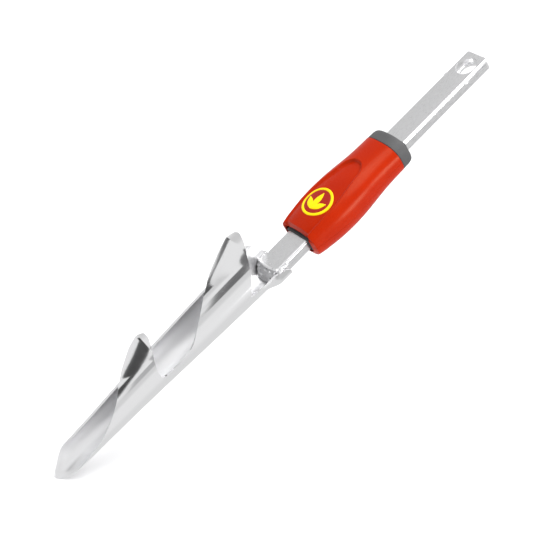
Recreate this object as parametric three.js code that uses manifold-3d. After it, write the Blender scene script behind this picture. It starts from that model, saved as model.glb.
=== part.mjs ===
// Long-handled bulb planter head: a spiral-cut rolled blade welded to a two-piece coupling tongue,
// with an oval two-shell sleeve over a moulded core. Millimetres, +Z up the tool, tip at z = 0.
// The badge side faces -Y, the tongue's width runs along X and its thickness along Y.
import * as THREE from "three";
import { mergeVertices } from "three/addons/utils/BufferGeometryUtils.js";
import Module from "manifold-3d";

const wasm = await Module();
wasm.setup();

// Driving dimensions
const OVERALL = 415; // tip to the end of the tongue
const CUT_GAP = 0.3; // clearance left where one piece is shaped to another
const PAST = 1; // how far a cutter runs past what it cuts

// Blade: one rolled sheet. "Turn" is the angle in degrees along the sheet, from its straight free
// edge, clockwise seen from above; the sheet starts towards TURN_ZERO.
const SHEET = 1.5;
const TURN_ZERO = 229;
const TURN_WINDOW = 231; // where the wings join the body of the tube
const TURN_END = 369; // outermost edge of the wings
const TUBE_RADIUS = [
  [0, 8.9], [20, 9.1], [40, 9.6], [60, 10.4], [80, 11.3], [100, 12.2], [120, 12.95], [140, 13.7],
  [160, 14.35], [180, 14.95], [208, 15.4],
];
const TUBE_AXIS_Y = [[0, -8.1], [20, -8.2], [40, -8.6], [60, -9.2], [80, -9.75], [100, -10.1], [208, -10.15]];
const NOTCH_LOW = 95.5; // first window, at its lower corner
const NOTCH_HIGH = 109; // where the second wing leaves the tube
const TAIL_NOTCH = 174.3; // corner between the second wing and the tail
const TAIL_TOP = 208.8;
const WING_LIFT = 0.0023; // radial lift in mm per squared degree past the turn where a wing peels off
const PEEL_TURN = [335, 290]; // that turn at a wing's foot and at its top
const PEEL_FROM = [68, 151]; // height of each wing's foot
const PEEL_OVER = [34, 42]; // height over which the peeling turn falls back
const HUG_GAP = 0.45; // the tail stands this far off the tongue
const HUG_HEIGHT = [186, 199]; // the tail changes from round to flat between these heights
const HUG_SHARPNESS = 16;

// Tongue: a deep pressed channel behind and a cover plate in front
const BAR_WIDTH = 21;
const BAR_THICK = 8.8;
const BAR_WALL = 1.7;
const BAR_CORNER = 1.8;
const BAR_INNER_CORNER = 0.6;
const BAR_LOW = 199.4;
const BAR_END_CORNER = 3;
const LATCH_HOLE = 16.2;
const LATCH_HOLE_TO_END = 11.7;
const SEAM_Y = BAR_WALL - BAR_THICK / 2; // where plate and channel meet
const SPLIT_LENGTH = 21; // length over which they stand apart at the end
const SPLIT_GAP = 1.5;
const SEAM_GAP = 0.1;

// Welds
const FILLET = { front: -4.35, back: 4.25, heel: 1.2, rise: 4.2, drop: 6.4, toe: 7.6, width: 22 };
const LEG_BEAD = { radius: 2, low: [12.1, -3.5, 202], high: [11.3, -3.8, 208.5], drops: 3 };
const TACK = { below: 2.5, deep: 1.3, across: 1.2, along: 2.2 };

// Sleeve: oval shells over a core, closed by a collar
const SLEEVE_LOW = 230.3;
const SLEEVE_HIGH = 316.3;
const SLEEVE_WALL = 2.2;
const SLEEVE_RIM = 4; // wall at the mouth
const RIM_HEIGHT = 4; // height over which the rim thins to the wall
const RIM_SLOPE = 1.3; // the rim's inner edge stands this much lower than its outer edge
const SLEEVE_HALF_WIDTH = [
  [229, 17.3], [231.5, 18.3], [235, 18.85], [240, 19.3], [246, 20], [252, 20.6], [258, 20.95], [264, 21],
  [270, 20.75], [276, 20.35], [282, 19.75], [288, 18.95], [294, 18.35], [300, 17.95], [308, 17.8],
  [330, 17.85],
];
const SLEEVE_HALF_DEPTH = [
  [229, 12], [232, 12.8], [240, 14.4], [254, 15.6], [268, 15.8], [285, 15.1], [300, 14], [316, 13.2],
  [330, 13.1],
];
const SLEEVE_SQUARENESS = 2.6; // exponent of the oval
const PARTING_BOW = 2.8; // how far the parting line swings to the rear at the belly
const PARTING_GAP = 0.05;
const MOUTH_RISE = 2.4; // the panel's lower edge stands this far above the cheeks
const MOUTH_BLEND = 12; // height over which that rise fades out
const PANEL_TOP = 296.5; // thumb panel: crown of its arch
const PANEL_ARCH = 13;
const PANEL_HALF_WIDTH = [[230, 13.6], [245, 14.6], [258, 14.7], [271, 13], [283.5, 10.4]];
const PANEL_DEPTH = [[230, 1.4], [255, 1.6], [275, 1.9], [293, 2.3]];
const PANEL_EDGE = 2.2;
const COLLAR_LOW = 316.6;
const COLLAR_HIGH = 326;
const CORE_TOP = 327.6;
const CORE_LOW = 229.7;
const CORE_OUTER = [25, 12];
const CORE_BORE = [21.8, 9.6];
const CORE_CORNER = 3;
const CORE_RIBS = [243, 285, 309];
const CORE_RIB_THICK = 2;
const RIB_CORNER = 6;
const RIB_CLEARANCE = [6.2, 5.4]; // from the sleeve's outside to a rib, in width and in depth

// Badge and screws
const BADGE_AT = 254.8;
const BADGE_HALF = [12.2, 12];
const BADGE_RING = 2;
const BADGE_THICK = 0.6;
const BADGE_LIFT = -0.1; // the badge's underside against the panel, inside a shallow pocket
const EMBLEM_THICK = 0.5;
const LEAF_FOOT = 7.2; // below the badge's centre
const LEAVES = [
  { lean: 0, length: 15, width: 5 },
  { lean: 0.8, length: 12, width: 4.4 },
  { lean: -0.8, length: 12, width: 4.4 },
];
const SCREW_AT = [266, 303];
const SCREW_SHANK = 3.8;
const SCREW_HEAD = 7;
const SCREW_HEAD_HEIGHT = 2.2;
const SCREW_BORE = 4.6;
const SCREW_HEAD_SEAT = 9.4;
const CROSS_SLOT = [4, 1, 1.6]; // length, width and depth
const SLEEVE_BOSS_FRONT = 10.4; // the front bosses reach this far towards the badge side
const BOSS = [8.4, 10.6]; // front and rear diameter

// Materials
const steel = (color, roughness) => new THREE.MeshStandardMaterial({ color, roughness, metalness: 1 });
const plastic = (color, roughness) => new THREE.MeshStandardMaterial({ color, roughness, metalness: 0 });
const PLATED = steel(0xe4e6e8, 0.12);
const GALVANISED = steel(0xc9cccd, 0.3);
const WELD = steel(0xb9bcbd, 0.4);
const ZINC = steel(0xb8babc, 0.35);
const RED = plastic(0xcd230a, 0.3);
const GREY = plastic(0x646464, 0.6);
const DARK_GREY = plastic(0x3a3a3a, 0.6);
const BADGE_RED = plastic(0x9e1f14, 0.35);
const YELLOW = plastic(0xf6e000, 0.35);

const radians = THREE.MathUtils.degToRad;
const { lerp, smoothstep, clamp } = THREE.MathUtils;

// A smooth function through points [x, y], level beyond both ends.
function through(points) {
  const slope = (i) => {
    if (i === 0 || i === points.length - 1) return 0;
    const left = (points[i][1] - points[i - 1][1]) / (points[i][0] - points[i - 1][0]);
    const right = (points[i + 1][1] - points[i][1]) / (points[i + 1][0] - points[i][0]);
    return left * right <= 0 ? 0 : (2 * left * right) / (left + right);
  };
  const slopes = points.map((_, i) => slope(i));
  const last = points.length - 1;
  slopes[0] = (points[1][1] - points[0][1]) / (points[1][0] - points[0][0]);
  slopes[last] = (points[last][1] - points[last - 1][1]) / (points[last][0] - points[last - 1][0]);
  return (x) => {
    if (x <= points[0][0]) return points[0][1];
    if (x >= points[last][0]) return points[last][1];
    const i = points.findIndex((p) => p[0] > x) - 1;
    const [x0, y0] = points[i];
    const [x1, y1] = points[i + 1];
    const w = x1 - x0;
    const t = (x - x0) / w;
    const bend0 = slopes[i] * w;
    const bend1 = slopes[i + 1] * w;
    const rise = y1 - y0;
    return y0 + t * (bend0 + t * (3 * rise - 2 * bend0 - bend1 + t * (bend0 + bend1 - 2 * rise)));
  };
}

// Solids: three.js geometry in and out of manifold-3d
function solid(geometry) {
  const bare = geometry.index ? geometry.toNonIndexed() : geometry.clone();
  const positions = new THREE.BufferGeometry().setAttribute("position", bare.getAttribute("position"));
  const merged = mergeVertices(positions, 1e-4);
  const kept = [];
  const index = merged.index.array;
  for (let i = 0; i < index.length; i += 3) {
    const [a, b, c] = [index[i], index[i + 1], index[i + 2]];
    if (a !== b && b !== c && c !== a) kept.push(a, b, c);
  }
  return new wasm.Manifold(
    new wasm.Mesh({
      numProp: 3,
      vertProperties: merged.getAttribute("position").array,
      triVerts: new Uint32Array(kept),
    }),
  );
}

function geometryOf(body) {
  const largest = body.decompose().sort((a, b) => b.volume() - a.volume())[0];
  const mesh = largest.getMesh();
  const geometry = new THREE.BufferGeometry();
  geometry.setAttribute("position", new THREE.BufferAttribute(mesh.vertProperties, 3));
  geometry.setIndex(new THREE.BufferAttribute(mesh.triVerts, 1));
  const faceted = geometry.toNonIndexed();
  faceted.computeVertexNormals();
  return faceted;
}

// A closed sheet over a grid: place(u, v, side) gives the point of the front (side 1) or the back
// (side -1) face; has(i, j) says which cells exist, and wrap joins the last column to the first.
function sheet(columns, rows, place, { has = () => true, wrap = false } = {}) {
  const positions = [];
  const nextColumn = (i) => (wrap && i + 1 === columns.length ? 0 : i + 1);
  const cellColumns = wrap ? columns.length : columns.length - 1;
  const cell = (i, j) => {
    if (j < 0 || j >= rows.length - 1) return false;
    if (!wrap && (i < 0 || i >= cellColumns)) return false;
    return has((i + cellColumns) % cellColumns, j);
  };
  const at = new Map();
  const point = (i, j, side) => {
    const key = i + "," + j + "," + side;
    if (!at.has(key)) at.set(key, place(columns[i], rows[j], side, i, j));
    return at.get(key);
  };
  const face = (...corners) => {
    const [a, b, c, d] = corners;
    for (const p of [a, b, c, a, c, d]) positions.push(p.x, p.y, p.z);
  };
  for (let i = 0; i < cellColumns; i++)
    for (let j = 0; j < rows.length - 1; j++) {
      if (!cell(i, j)) continue;
      const k = nextColumn(i);
      face(point(i, j, 1), point(k, j, 1), point(k, j + 1, 1), point(i, j + 1, 1));
      face(point(i, j, -1), point(i, j + 1, -1), point(k, j + 1, -1), point(k, j, -1));
      if (!cell(i, j - 1))
        face(point(i, j, -1), point(k, j, -1), point(k, j, 1), point(i, j, 1));
      if (!cell(i, j + 1))
        face(point(i, j + 1, 1), point(k, j + 1, 1), point(k, j + 1, -1), point(i, j + 1, -1));
      if (!cell(i - 1, j))
        face(point(i, j, 1), point(i, j + 1, 1), point(i, j + 1, -1), point(i, j, -1));
      if (!cell(i + 1, j))
        face(point(k, j, -1), point(k, j + 1, -1), point(k, j + 1, 1), point(k, j, 1));
    }
  return new THREE.BufferGeometry().setAttribute("position", new THREE.Float32BufferAttribute(positions, 3));
}

const steps = (from, to, count) => Array.from({ length: count + 1 }, (_, i) => lerp(from, to, i / count));

// The blade
const tubeRadius = through(TUBE_RADIUS);
const tubeAxisY = through(TUBE_AXIS_Y);
const lowerEdge = through([
  [0, 21], [16, 16.6], [42, 11.8], [71, 5.5], [90, 1.2], [109, 0], [138, 4.1], [155, 8.8], [183, 16.6],
  [212, 26.1], [222, 34.2], [245, 43.7], [263, 51.4], [286, 59.7], [311, 66.3], [337, 70.5], [352, 74.5],
  [361, 78.5], [366, 83], [TURN_END, 90],
]);
const firstWingTop = through([
  [TURN_WINDOW, NOTCH_LOW], [240, 93.8], [260, 93.9], [279, 96], [308, 100], [332, 104], [347, 106.6],
  [355, 106.8], [361, 104.2], [366, 98.5], [TURN_END, 93.5],
]);
const secondWingFoot = through([
  [TURN_WINDOW, NOTCH_HIGH], [234, 116.3], [241, 121.4], [256, 127.3], [270, 132.4], [283, 137.6],
  [298, 143.4], [316, 149.5], [343, 157.3], [360, 164.5], [366, 171.5], [TURN_END, 181],
]);
const topEdge = through([
  [0, 195], [22, 200.8], [39, 203.8], [56, 205.5], [77, 207.8], [90, TAIL_TOP], [178, TAIL_TOP],
  [187, 207.2], [194, 203], [201, 196.5], [210, 189.7], [218, 182], [225, TAIL_NOTCH],
  [TURN_WINDOW, 175], [262, 181.8], [277, 185.2],
  [294, 188.5], [310, 191.2], [325, 194.7], [345, 198.7], [355, 200.4], [361, 199.8], [366, 195.5],
  [TURN_END, 187],
]);

// A wing peels off the tube at its foot, and further round it the higher it goes.
function peelTurn(z) {
  const wing = z < NOTCH_HIGH ? 0 : 1;
  return lerp(...PEEL_TURN, clamp((z - PEEL_FROM[wing]) / PEEL_OVER[wing], 0, 1));
}

// The tail closes from the round tube onto the flat back and sides of the tongue.
const HUG_HALF_WIDTH = BAR_WIDTH / 2 + HUG_GAP + SHEET / 2;
const HUG_BACK = BAR_THICK / 2 + HUG_GAP + SHEET / 2;
function hugRadius(angle, z) {
  const across = Math.abs(Math.cos(angle)) / HUG_HALF_WIDTH;
  const back = Math.max(Math.sin(angle), 0) / (HUG_BACK - tubeAxisY(z));
  return (across ** HUG_SHARPNESS + back ** HUG_SHARPNESS) ** (-1 / HUG_SHARPNESS);
}

function bladeMiddle(turn, z) {
  const angle = radians(TURN_ZERO - turn);
  const lift = WING_LIFT * Math.max(turn - peelTurn(z), 0) ** 2;
  const hug = smoothstep(z, ...HUG_HEIGHT) * smoothstep(turn, 10, 60) * (1 - smoothstep(turn, 235, 265));
  const radius = lerp(tubeRadius(z), hugRadius(angle, z), hug) + lift;
  return new THREE.Vector3(radius * Math.cos(angle), tubeAxisY(z) + radius * Math.sin(angle), z);
}

function bladeGeometry(thickness) {
  const columns = [
    ...steps(TURN_END, 352, 5),
    ...steps(352, TURN_WINDOW, 10).slice(1),
    ...steps(TURN_WINDOW, 0, 20).slice(1),
  ];
  const [lowRows, windowRows, highRows] = [6, 2, 9];
  const rows = steps(0, lowRows + windowRows + highRows, lowRows + windowRows + highRows);
  const windowLow = (turn) => (turn <= TURN_WINDOW ? NOTCH_LOW : firstWingTop(turn));
  const windowHigh = (turn) => (turn <= TURN_WINDOW ? NOTCH_HIGH : secondWingFoot(turn));
  const height = (turn, row) => {
    if (row <= lowRows) return lerp(lowerEdge(turn), windowLow(turn), row / lowRows);
    if (row <= lowRows + windowRows)
      return lerp(windowLow(turn), windowHigh(turn), (row - lowRows) / windowRows);
    return lerp(windowHigh(turn), topEdge(turn), (row - lowRows - windowRows) / highRows);
  };
  const reach = 0.5; // half the distance over which the sheet's slope is measured
  const place = (turn, row, side) => {
    const z = height(turn, row);
    const middle = bladeMiddle(turn, z);
    const around = bladeMiddle(turn + reach, z).sub(bladeMiddle(turn - reach, z));
    const along = bladeMiddle(turn, z + reach).sub(bladeMiddle(turn, z - reach));
    const out = along.cross(around).normalize();
    return middle.addScaledVector(out, (side * thickness) / 2);
  };
  const inWindow = (i, j) => columns[i] > TURN_WINDOW && j >= lowRows && j < lowRows + windowRows;
  return sheet(columns, rows, place, { has: (i, j) => !inWindow(i, j) });
}

// The tongue
function roundedRectangle(width, height, corner) {
  const [x, y] = [width / 2, height / 2];
  const shape = new THREE.Shape();
  shape.absarc(x - corner, y - corner, corner, 0, Math.PI / 2);
  shape.absarc(-x + corner, y - corner, corner, Math.PI / 2, Math.PI);
  shape.absarc(-x + corner, -y + corner, corner, Math.PI, 1.5 * Math.PI);
  shape.absarc(x - corner, -y + corner, corner, 1.5 * Math.PI, 2 * Math.PI);
  return shape;
}

// A prism along Z between two heights.
const upright = (shape, low, high, curveSegments = 5) =>
  new THREE.ExtrudeGeometry(shape, { depth: high - low, bevelEnabled: false, curveSegments })
    .translate(0, 0, low);

// A prism along Y, its shape drawn in X and Z.
const across = (shape, front, back, curveSegments = 5) =>
  new THREE.ExtrudeGeometry(shape, { depth: back - front, bevelEnabled: false, curveSegments })
    .rotateX(Math.PI / 2)
    .translate(0, back, 0);

// A round bar along Y.
const rod = (diameter, x, z, front, back, sides = 18) =>
  new THREE.CylinderGeometry(diameter / 2, diameter / 2, back - front, sides)
    .translate(x, (front + back) / 2, z);

function tongueHalf(front) {
  const hollow = roundedRectangle(BAR_WIDTH - 2 * BAR_WALL, BAR_THICK - 2 * BAR_WALL, BAR_INNER_CORNER);
  const outer = solid(upright(roundedRectangle(BAR_WIDTH, BAR_THICK, BAR_CORNER), BAR_LOW, OVERALL, 4));
  const inner = solid(upright(hollow, BAR_LOW - PAST, OVERALL + PAST, 2));
  const outline = new THREE.Shape();
  const half = BAR_WIDTH / 2;
  const shoulder = OVERALL - BAR_END_CORNER;
  outline.moveTo(-half - PAST, BAR_LOW - PAST);
  outline.lineTo(half + PAST, BAR_LOW - PAST);
  outline.lineTo(half + PAST, shoulder);
  outline.lineTo(half, shoulder);
  outline.absarc(half - BAR_END_CORNER, shoulder, BAR_END_CORNER, 0, Math.PI / 2);
  outline.absarc(-half + BAR_END_CORNER, shoulder, BAR_END_CORNER, Math.PI / 2, Math.PI);
  outline.lineTo(-half - PAST, shoulder);
  const trim = solid(across(outline, -BAR_THICK, BAR_THICK));
  const split = new THREE.Shape(); // only the channel bends away from the seam
  split.moveTo(-SEAM_GAP / 2, BAR_LOW - PAST);
  split.lineTo(BAR_THICK, BAR_LOW - PAST);
  split.lineTo(BAR_THICK, OVERALL + PAST);
  split.lineTo(front ? -SEAM_GAP / 2 : -SPLIT_GAP, OVERALL + PAST);
  split.lineTo(-SEAM_GAP / 2, OVERALL - SPLIT_LENGTH);
  const behind = solid(
    new THREE.ExtrudeGeometry(split, { depth: 2 * BAR_WIDTH, bevelEnabled: false })
      .rotateX(Math.PI / 2)
      .rotateZ(Math.PI / 2)
      .translate(-BAR_WIDTH, 0, 0),
  );
  const otherSide = (front ? behind : behind.mirror([0, 1, 0])).translate([0, SEAM_Y, 0]);
  const bores = [
    rod(LATCH_HOLE, 0, OVERALL - LATCH_HOLE_TO_END, -BAR_THICK, BAR_THICK, 40),
    ...SCREW_AT.map((z) => rod(SCREW_BORE, 0, z, -BAR_THICK, BAR_THICK, 20)),
  ];
  let body = outer.subtract(inner).intersect(trim);
  for (const bore of bores) body = body.subtract(solid(bore));
  return geometryOf(body.subtract(otherSide));
}

// What weld metal is cut back to: the tongue and the blade, each thicker by a gap.
const tongueRoom = (gap) =>
  solid(
    upright(
      roundedRectangle(BAR_WIDTH + 2 * gap, BAR_THICK + 2 * gap, BAR_CORNER + gap),
      BAR_LOW - gap,
      OVERALL + gap,
    ),
  );
const bladeRoom = solid(bladeGeometry(SHEET + 2 * CUT_GAP));

// Weld metal along one edge of the tongue (side 1 or -1): a rope of overlapping drops.
function legBead(side) {
  const [start, end] = [LEG_BEAD.low, LEG_BEAD.high].map(([x, y, z]) => new THREE.Vector3(side * x, y, z));
  const drops = steps(0, 1, LEG_BEAD.drops).map((t) => {
    const at = start.clone().lerp(end, t);
    return solid(new THREE.SphereGeometry(LEG_BEAD.radius, 10, 6).translate(at.x, at.y, at.z));
  });
  const rope = drops.reduce((a, b) => a.add(b));
  return geometryOf(rope.subtract(tongueRoom(CUT_GAP)).subtract(bladeRoom));
}

// The fillet that closes the lower end of the tongue against the trough of the tail.
function endFillet() {
  const profile = new THREE.Shape();
  const top = BAR_LOW - CUT_GAP;
  profile.moveTo(FILLET.back, top);
  profile.lineTo(FILLET.front, top);
  profile.quadraticCurveTo(FILLET.front + 0.6, top - FILLET.rise, FILLET.heel, top - FILLET.drop);
  profile.lineTo(FILLET.back, top - FILLET.toe);
  const settings = { depth: FILLET.width, bevelEnabled: false, curveSegments: 8 };
  const wedge = new THREE.ExtrudeGeometry(profile, settings);
  wedge.applyMatrix4(new THREE.Matrix4().makeBasis(
    new THREE.Vector3(0, 1, 0),
    new THREE.Vector3(0, 0, 1),
    new THREE.Vector3(1, 0, 0),
  ));
  wedge.translate(-FILLET.width / 2, 0, 0);
  return geometryOf(solid(wedge).subtract(bladeRoom));
}

// A tack on the seam between the two halves.
function seamTack(side) {
  const drop = new THREE.SphereGeometry(1, 14, 10).scale(TACK.deep, TACK.across, TACK.along);
  drop.translate((side * BAR_WIDTH) / 2, SEAM_Y, OVERALL - SPLIT_LENGTH - TACK.below);
  return geometryOf(solid(drop).subtract(tongueRoom(SEAM_GAP / 2)));
}

// The sleeve
const sleeveHalfWidth = through(SLEEVE_HALF_WIDTH);
const sleeveHalfDepth = through(SLEEVE_HALF_DEPTH);
const panelDip = through(PANEL_DEPTH);
const panelHalfWidth = through(PANEL_HALF_WIDTH);
const MOUTH_HALF_WIDTH = panelHalfWidth(SLEEVE_LOW);
const ovalPower = 2 / SLEEVE_SQUARENESS;
function partingAt(z) {
  return PARTING_BOW * Math.sin(Math.PI * clamp((z - SLEEVE_LOW) / (SLEEVE_HIGH - SLEEVE_LOW), 0, 1));
}

function oval(angle, halfWidth, halfDepth) {
  const [c, s] = [Math.cos(angle), Math.sin(angle)];
  return [
    halfWidth * Math.sign(c) * Math.abs(c) ** ovalPower,
    halfDepth * Math.sign(s) * Math.abs(s) ** ovalPower,
  ];
}

// How far the thumb panel lies below the oval.
function panelDepth(x, z) {
  const rise = clamp((z - (PANEL_TOP - PANEL_ARCH)) / PANEL_ARCH, 0, 1);
  const halfWidth = panelHalfWidth(z) * Math.sqrt(1 - rise * rise);
  const inside = Math.min(halfWidth - Math.abs(x), PANEL_TOP - z);
  return panelDip(z) * smoothstep(inside, -0.2, PANEL_EDGE);
}

// Height of the mouth's edge above SLEEVE_LOW at a distance x from the middle of the panel.
const mouthRise = (x) =>
  MOUTH_RISE * (1 - smoothstep(Math.abs(x), MOUTH_HALF_WIDTH - 3, MOUTH_HALF_WIDTH + 1));

function shellPoint(turn, level, side, front) {
  const rim = side > 0 ? 0 : 1 - clamp((level - SLEEVE_LOW) / RIM_HEIGHT, 0, 1);
  const inset = side > 0 ? 0 : lerp(SLEEVE_WALL, SLEEVE_RIM, rim);
  const at = (height) => {
    const [halfWidth, halfDepth] = [sleeveHalfWidth(height) - inset, sleeveHalfDepth(height) - inset];
    const line = partingAt(height) + (front ? -PARTING_GAP : PARTING_GAP);
    const start = Math.asin(clamp(line / halfDepth, 0, 1) ** (1 / ovalPower));
    const angle = front ? lerp(start, -Math.PI - start, turn) : lerp(start, Math.PI - start, turn);
    return oval(angle, halfWidth, halfDepth);
  };
  const fade = 1 - clamp((level - SLEEVE_LOW) / MOUTH_BLEND, 0, 1);
  const raised = level + (front && at(level)[1] < 0 ? fade * mouthRise(at(level)[0]) : 0);
  const [x, y] = at(raised);
  const z = raised - RIM_SLOPE * rim;
  if (!front || y > 0) return new THREE.Vector3(x, y, z);
  const nearest = side > 0 ? 0 : -CORE_OUTER[1] / 2 - CUT_GAP; // clear of the core
  const sunk = y + panelDepth(x, raised);
  return new THREE.Vector3(x, Math.abs(x) < MOUTH_HALF_WIDTH ? Math.min(sunk, nearest) : sunk, z);
}

function shell(front) {
  const columns = steps(0, 1, front ? 24 : 16);
  const arch = PANEL_TOP - PANEL_ARCH;
  const levels = [
    SLEEVE_LOW,
    ...steps(SLEEVE_LOW + RIM_HEIGHT, arch, 5),
    ...steps(arch, PANEL_TOP + 1, front ? 5 : 2).slice(1),
    ...steps(PANEL_TOP + 1, SLEEVE_HIGH, 2).slice(1),
  ];
  const place = (u, level, side) => shellPoint(front ? 1 - u : u, level, side, front);
  return solid(sheet(columns, levels, place));
}

function frontShell() {
  let body = shell(true);
  for (const z of SCREW_AT) {
    const boss = rod(BOSS[0], 0, z, -SLEEVE_BOSS_FRONT, -CORE_OUTER[1] / 2 - CUT_GAP);
    const pilot = rod(SCREW_SHANK + CUT_GAP, 0, z, -SLEEVE_BOSS_FRONT + PAST, 0, 20);
    body = body.add(solid(boss)).subtract(solid(pilot));
  }
  const rim = 1 + (1.5 * CUT_GAP) / BADGE_HALF[0];
  const pocket = badgeBand(0, rim, BADGE_LIFT - 2.5 * CUT_GAP, BADGE_THICK + PAST);
  return geometryOf(body.subtract(solid(pocket)));
}

function rearShell() {
  let body = shell(false);
  for (const z of SCREW_AT) {
    const boss = rod(BOSS[1], 0, z, CORE_OUTER[1] / 2 + CUT_GAP, sleeveHalfDepth(z) - CUT_GAP);
    const bore = rod(SCREW_BORE, 0, z, 0, BAR_WIDTH, 16);
    const counterbore = rod(SCREW_HEAD + 2 * CUT_GAP, 0, z, SCREW_HEAD_SEAT, BAR_WIDTH);
    body = body.add(solid(boss)).subtract(solid(bore)).subtract(solid(counterbore));
  }
  return geometryOf(body);
}

function core() {
  let body = solid(upright(roundedRectangle(...CORE_OUTER, CORE_CORNER), CORE_LOW, CORE_TOP));
  for (const z of CORE_RIBS) {
    const width = 2 * (sleeveHalfWidth(z) - RIB_CLEARANCE[0]);
    const depth = 2 * (sleeveHalfDepth(z) - RIB_CLEARANCE[1]);
    body = body.add(solid(upright(roundedRectangle(width, depth, RIB_CORNER), z, z + CORE_RIB_THICK)));
  }
  const bore = roundedRectangle(...CORE_BORE, BAR_CORNER);
  body = body.subtract(solid(upright(bore, CORE_LOW - PAST, CORE_TOP + PAST)));
  for (const z of SCREW_AT) body = body.subtract(solid(rod(SCREW_BORE, 0, z, -BAR_WIDTH, BAR_WIDTH, 20)));
  return geometryOf(body);
}

function collar() {
  const columns = steps(0, 2 * Math.PI, 40).slice(0, -1);
  const rings = [ // height, and how far the collar lies inside the sleeve's outline
    [COLLAR_LOW, 0.1], [COLLAR_LOW + 5.5, 0.3], [COLLAR_HIGH - 1.6, 0.8], [COLLAR_HIGH - 0.4, 1.5],
    [COLLAR_HIGH, 2.2],
  ];
  const place = (angle, ring, side) => {
    const [z, inset] = rings[ring];
    const [x, y] = oval(angle, sleeveHalfWidth(z) - inset, sleeveHalfDepth(z) - inset);
    const inwards = side > 0 ? 1 : 0.2; // the inner face is only there to close the ring before it is bored
    return new THREE.Vector3(x * inwards, y * inwards, z);
  };
  const disc = solid(sheet(columns, steps(0, rings.length - 1, rings.length - 1), place, { wrap: true }));
  const [width, depth] = CORE_OUTER;
  const plug = roundedRectangle(width - PAST, depth - PAST, CORE_CORNER);
  const opening = roundedRectangle(width + 2 * CUT_GAP, depth + 2 * CUT_GAP, CORE_CORNER);
  return geometryOf(
    disc
      .add(solid(upright(plug, COLLAR_LOW, COLLAR_HIGH)))
      .subtract(solid(upright(opening, COLLAR_LOW - PAST, COLLAR_HIGH + PAST))),
  );
}

// The badge follows the panel: a point of the panel at x and height z, raised by lift.
function panelPoint(x, z, lift) {
  const [halfWidth, halfDepth] = [sleeveHalfWidth(z), sleeveHalfDepth(z)];
  const y = -halfDepth * (1 - Math.abs(x / halfWidth) ** SLEEVE_SQUARENESS) ** (1 / SLEEVE_SQUARENESS);
  return new THREE.Vector3(x, y + panelDepth(x, z) - lift, z);
}

function badgeBand(inner, outer, low, high) {
  const columns = steps(0, 2 * Math.PI, 28).slice(0, -1);
  const place = (angle, scale, side) =>
    panelPoint(
      BADGE_HALF[0] * scale * Math.cos(angle),
      BADGE_AT + BADGE_HALF[1] * scale * Math.sin(angle),
      side > 0 ? high : low,
    );
  return sheet(columns, steps(outer, inner, 4), place, { wrap: true });
}

// One leaf of the emblem: pointed at both ends, leaning from its foot.
function leaf({ lean, length, width }, low, high) {
  const place = (along, sideways, side) => {
    const half = (width / 2) * Math.sin(Math.PI * along) * sideways;
    const x = length * along * Math.sin(lean) + half * Math.cos(lean);
    const z = BADGE_AT - LEAF_FOOT + length * along * Math.cos(lean) - half * Math.sin(lean);
    return panelPoint(x, z, side > 0 ? high : low);
  };
  return solid(sheet(steps(0, 1, 6), [1, 0, -1], place));
}

function emblem() {
  const low = BADGE_LIFT + BADGE_THICK + CUT_GAP;
  return geometryOf(LEAVES.map((shape) => leaf(shape, low, low + EMBLEM_THICK)).reduce((a, b) => a.add(b)));
}

function screw() {
  const tip = -SLEEVE_BOSS_FRONT + PAST + CUT_GAP;
  const seat = SCREW_HEAD_SEAT + 0.1;
  const top = SCREW_HEAD_SEAT + SCREW_HEAD_HEIGHT;
  const profile = [
    [0, tip], [SCREW_SHANK / 4, tip], [SCREW_SHANK / 2, tip + SCREW_SHANK / 3], [SCREW_SHANK / 2, seat],
    [SCREW_HEAD / 2, seat], [SCREW_HEAD / 2, lerp(seat, top, 0.6)], [SCREW_HEAD / 3, top], [0, top],
  ].map(([r, y]) => new THREE.Vector2(r, y));
  const [length, width, depth] = CROSS_SLOT;
  const slot = new THREE.BoxGeometry(width, depth, length).translate(0, top, 0);
  const cross = new THREE.BoxGeometry(length, depth, width).translate(0, top, 0);
  const body = solid(new THREE.LatheGeometry(profile, 24));
  return geometryOf(body.subtract(solid(slot)).subtract(solid(cross)));
}

// Assembly
const planter = new THREE.Group();
function piece(name, geometry, material, position = [0, 0, 0]) {
  const mesh = new THREE.Mesh(geometry, material);
  mesh.name = name;
  mesh.position.set(...position);
  planter.add(mesh);
  return mesh;
}

piece("blade", geometryOf(solid(bladeGeometry(SHEET))), PLATED);
piece("tongue_front_half", tongueHalf(true), GALVANISED);
piece("tongue_rear_half", tongueHalf(false), GALVANISED);
piece("weld_end_fillet", endFillet(), WELD);
piece("weld_left_leg", legBead(-1), WELD);
piece("weld_right_leg", legBead(1), WELD);
piece("seam_tack_right", seamTack(1), WELD);
piece("seam_tack_left", seamTack(-1), WELD);
piece("sleeve_core", core(), DARK_GREY);
piece("collar", collar(), GREY);
piece("front_shell", frontShell(), RED);
piece("rear_shell", rearShell(), RED);
const ringInside = 1 - BADGE_RING / BADGE_HALF[0];
const badgeTop = BADGE_LIFT + BADGE_THICK;
piece("badge_plate", badgeBand(0, ringInside - CUT_GAP / BADGE_HALF[0], BADGE_LIFT, badgeTop), BADGE_RED);
piece("badge_ring", badgeBand(ringInside, 1, BADGE_LIFT, badgeTop), YELLOW);
piece("badge_emblem", emblem(), YELLOW);
SCREW_AT.forEach((z, i) => piece("sleeve_screw_" + ["lower", "upper"][i], screw(), ZINC, [0, 0, z]));

// The frame's origin is under the centre of the box that holds the planter.
const box = new THREE.Box3().setFromObject(planter);
const centre = box.getCenter(new THREE.Vector3());
planter.position.set(-centre.x, -centre.y, -box.min.z);

export default planter;
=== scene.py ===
"""Looks of the bulb planter head: smooth bodies, procedural materials, stage, lights and camera.

Shapes are worked out in millimetres about the tongue's axis, tip at height 0, badge side facing -Y,
and moved onto the CAD frame, in metres, as each mesh is made.
"""

import math

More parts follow.
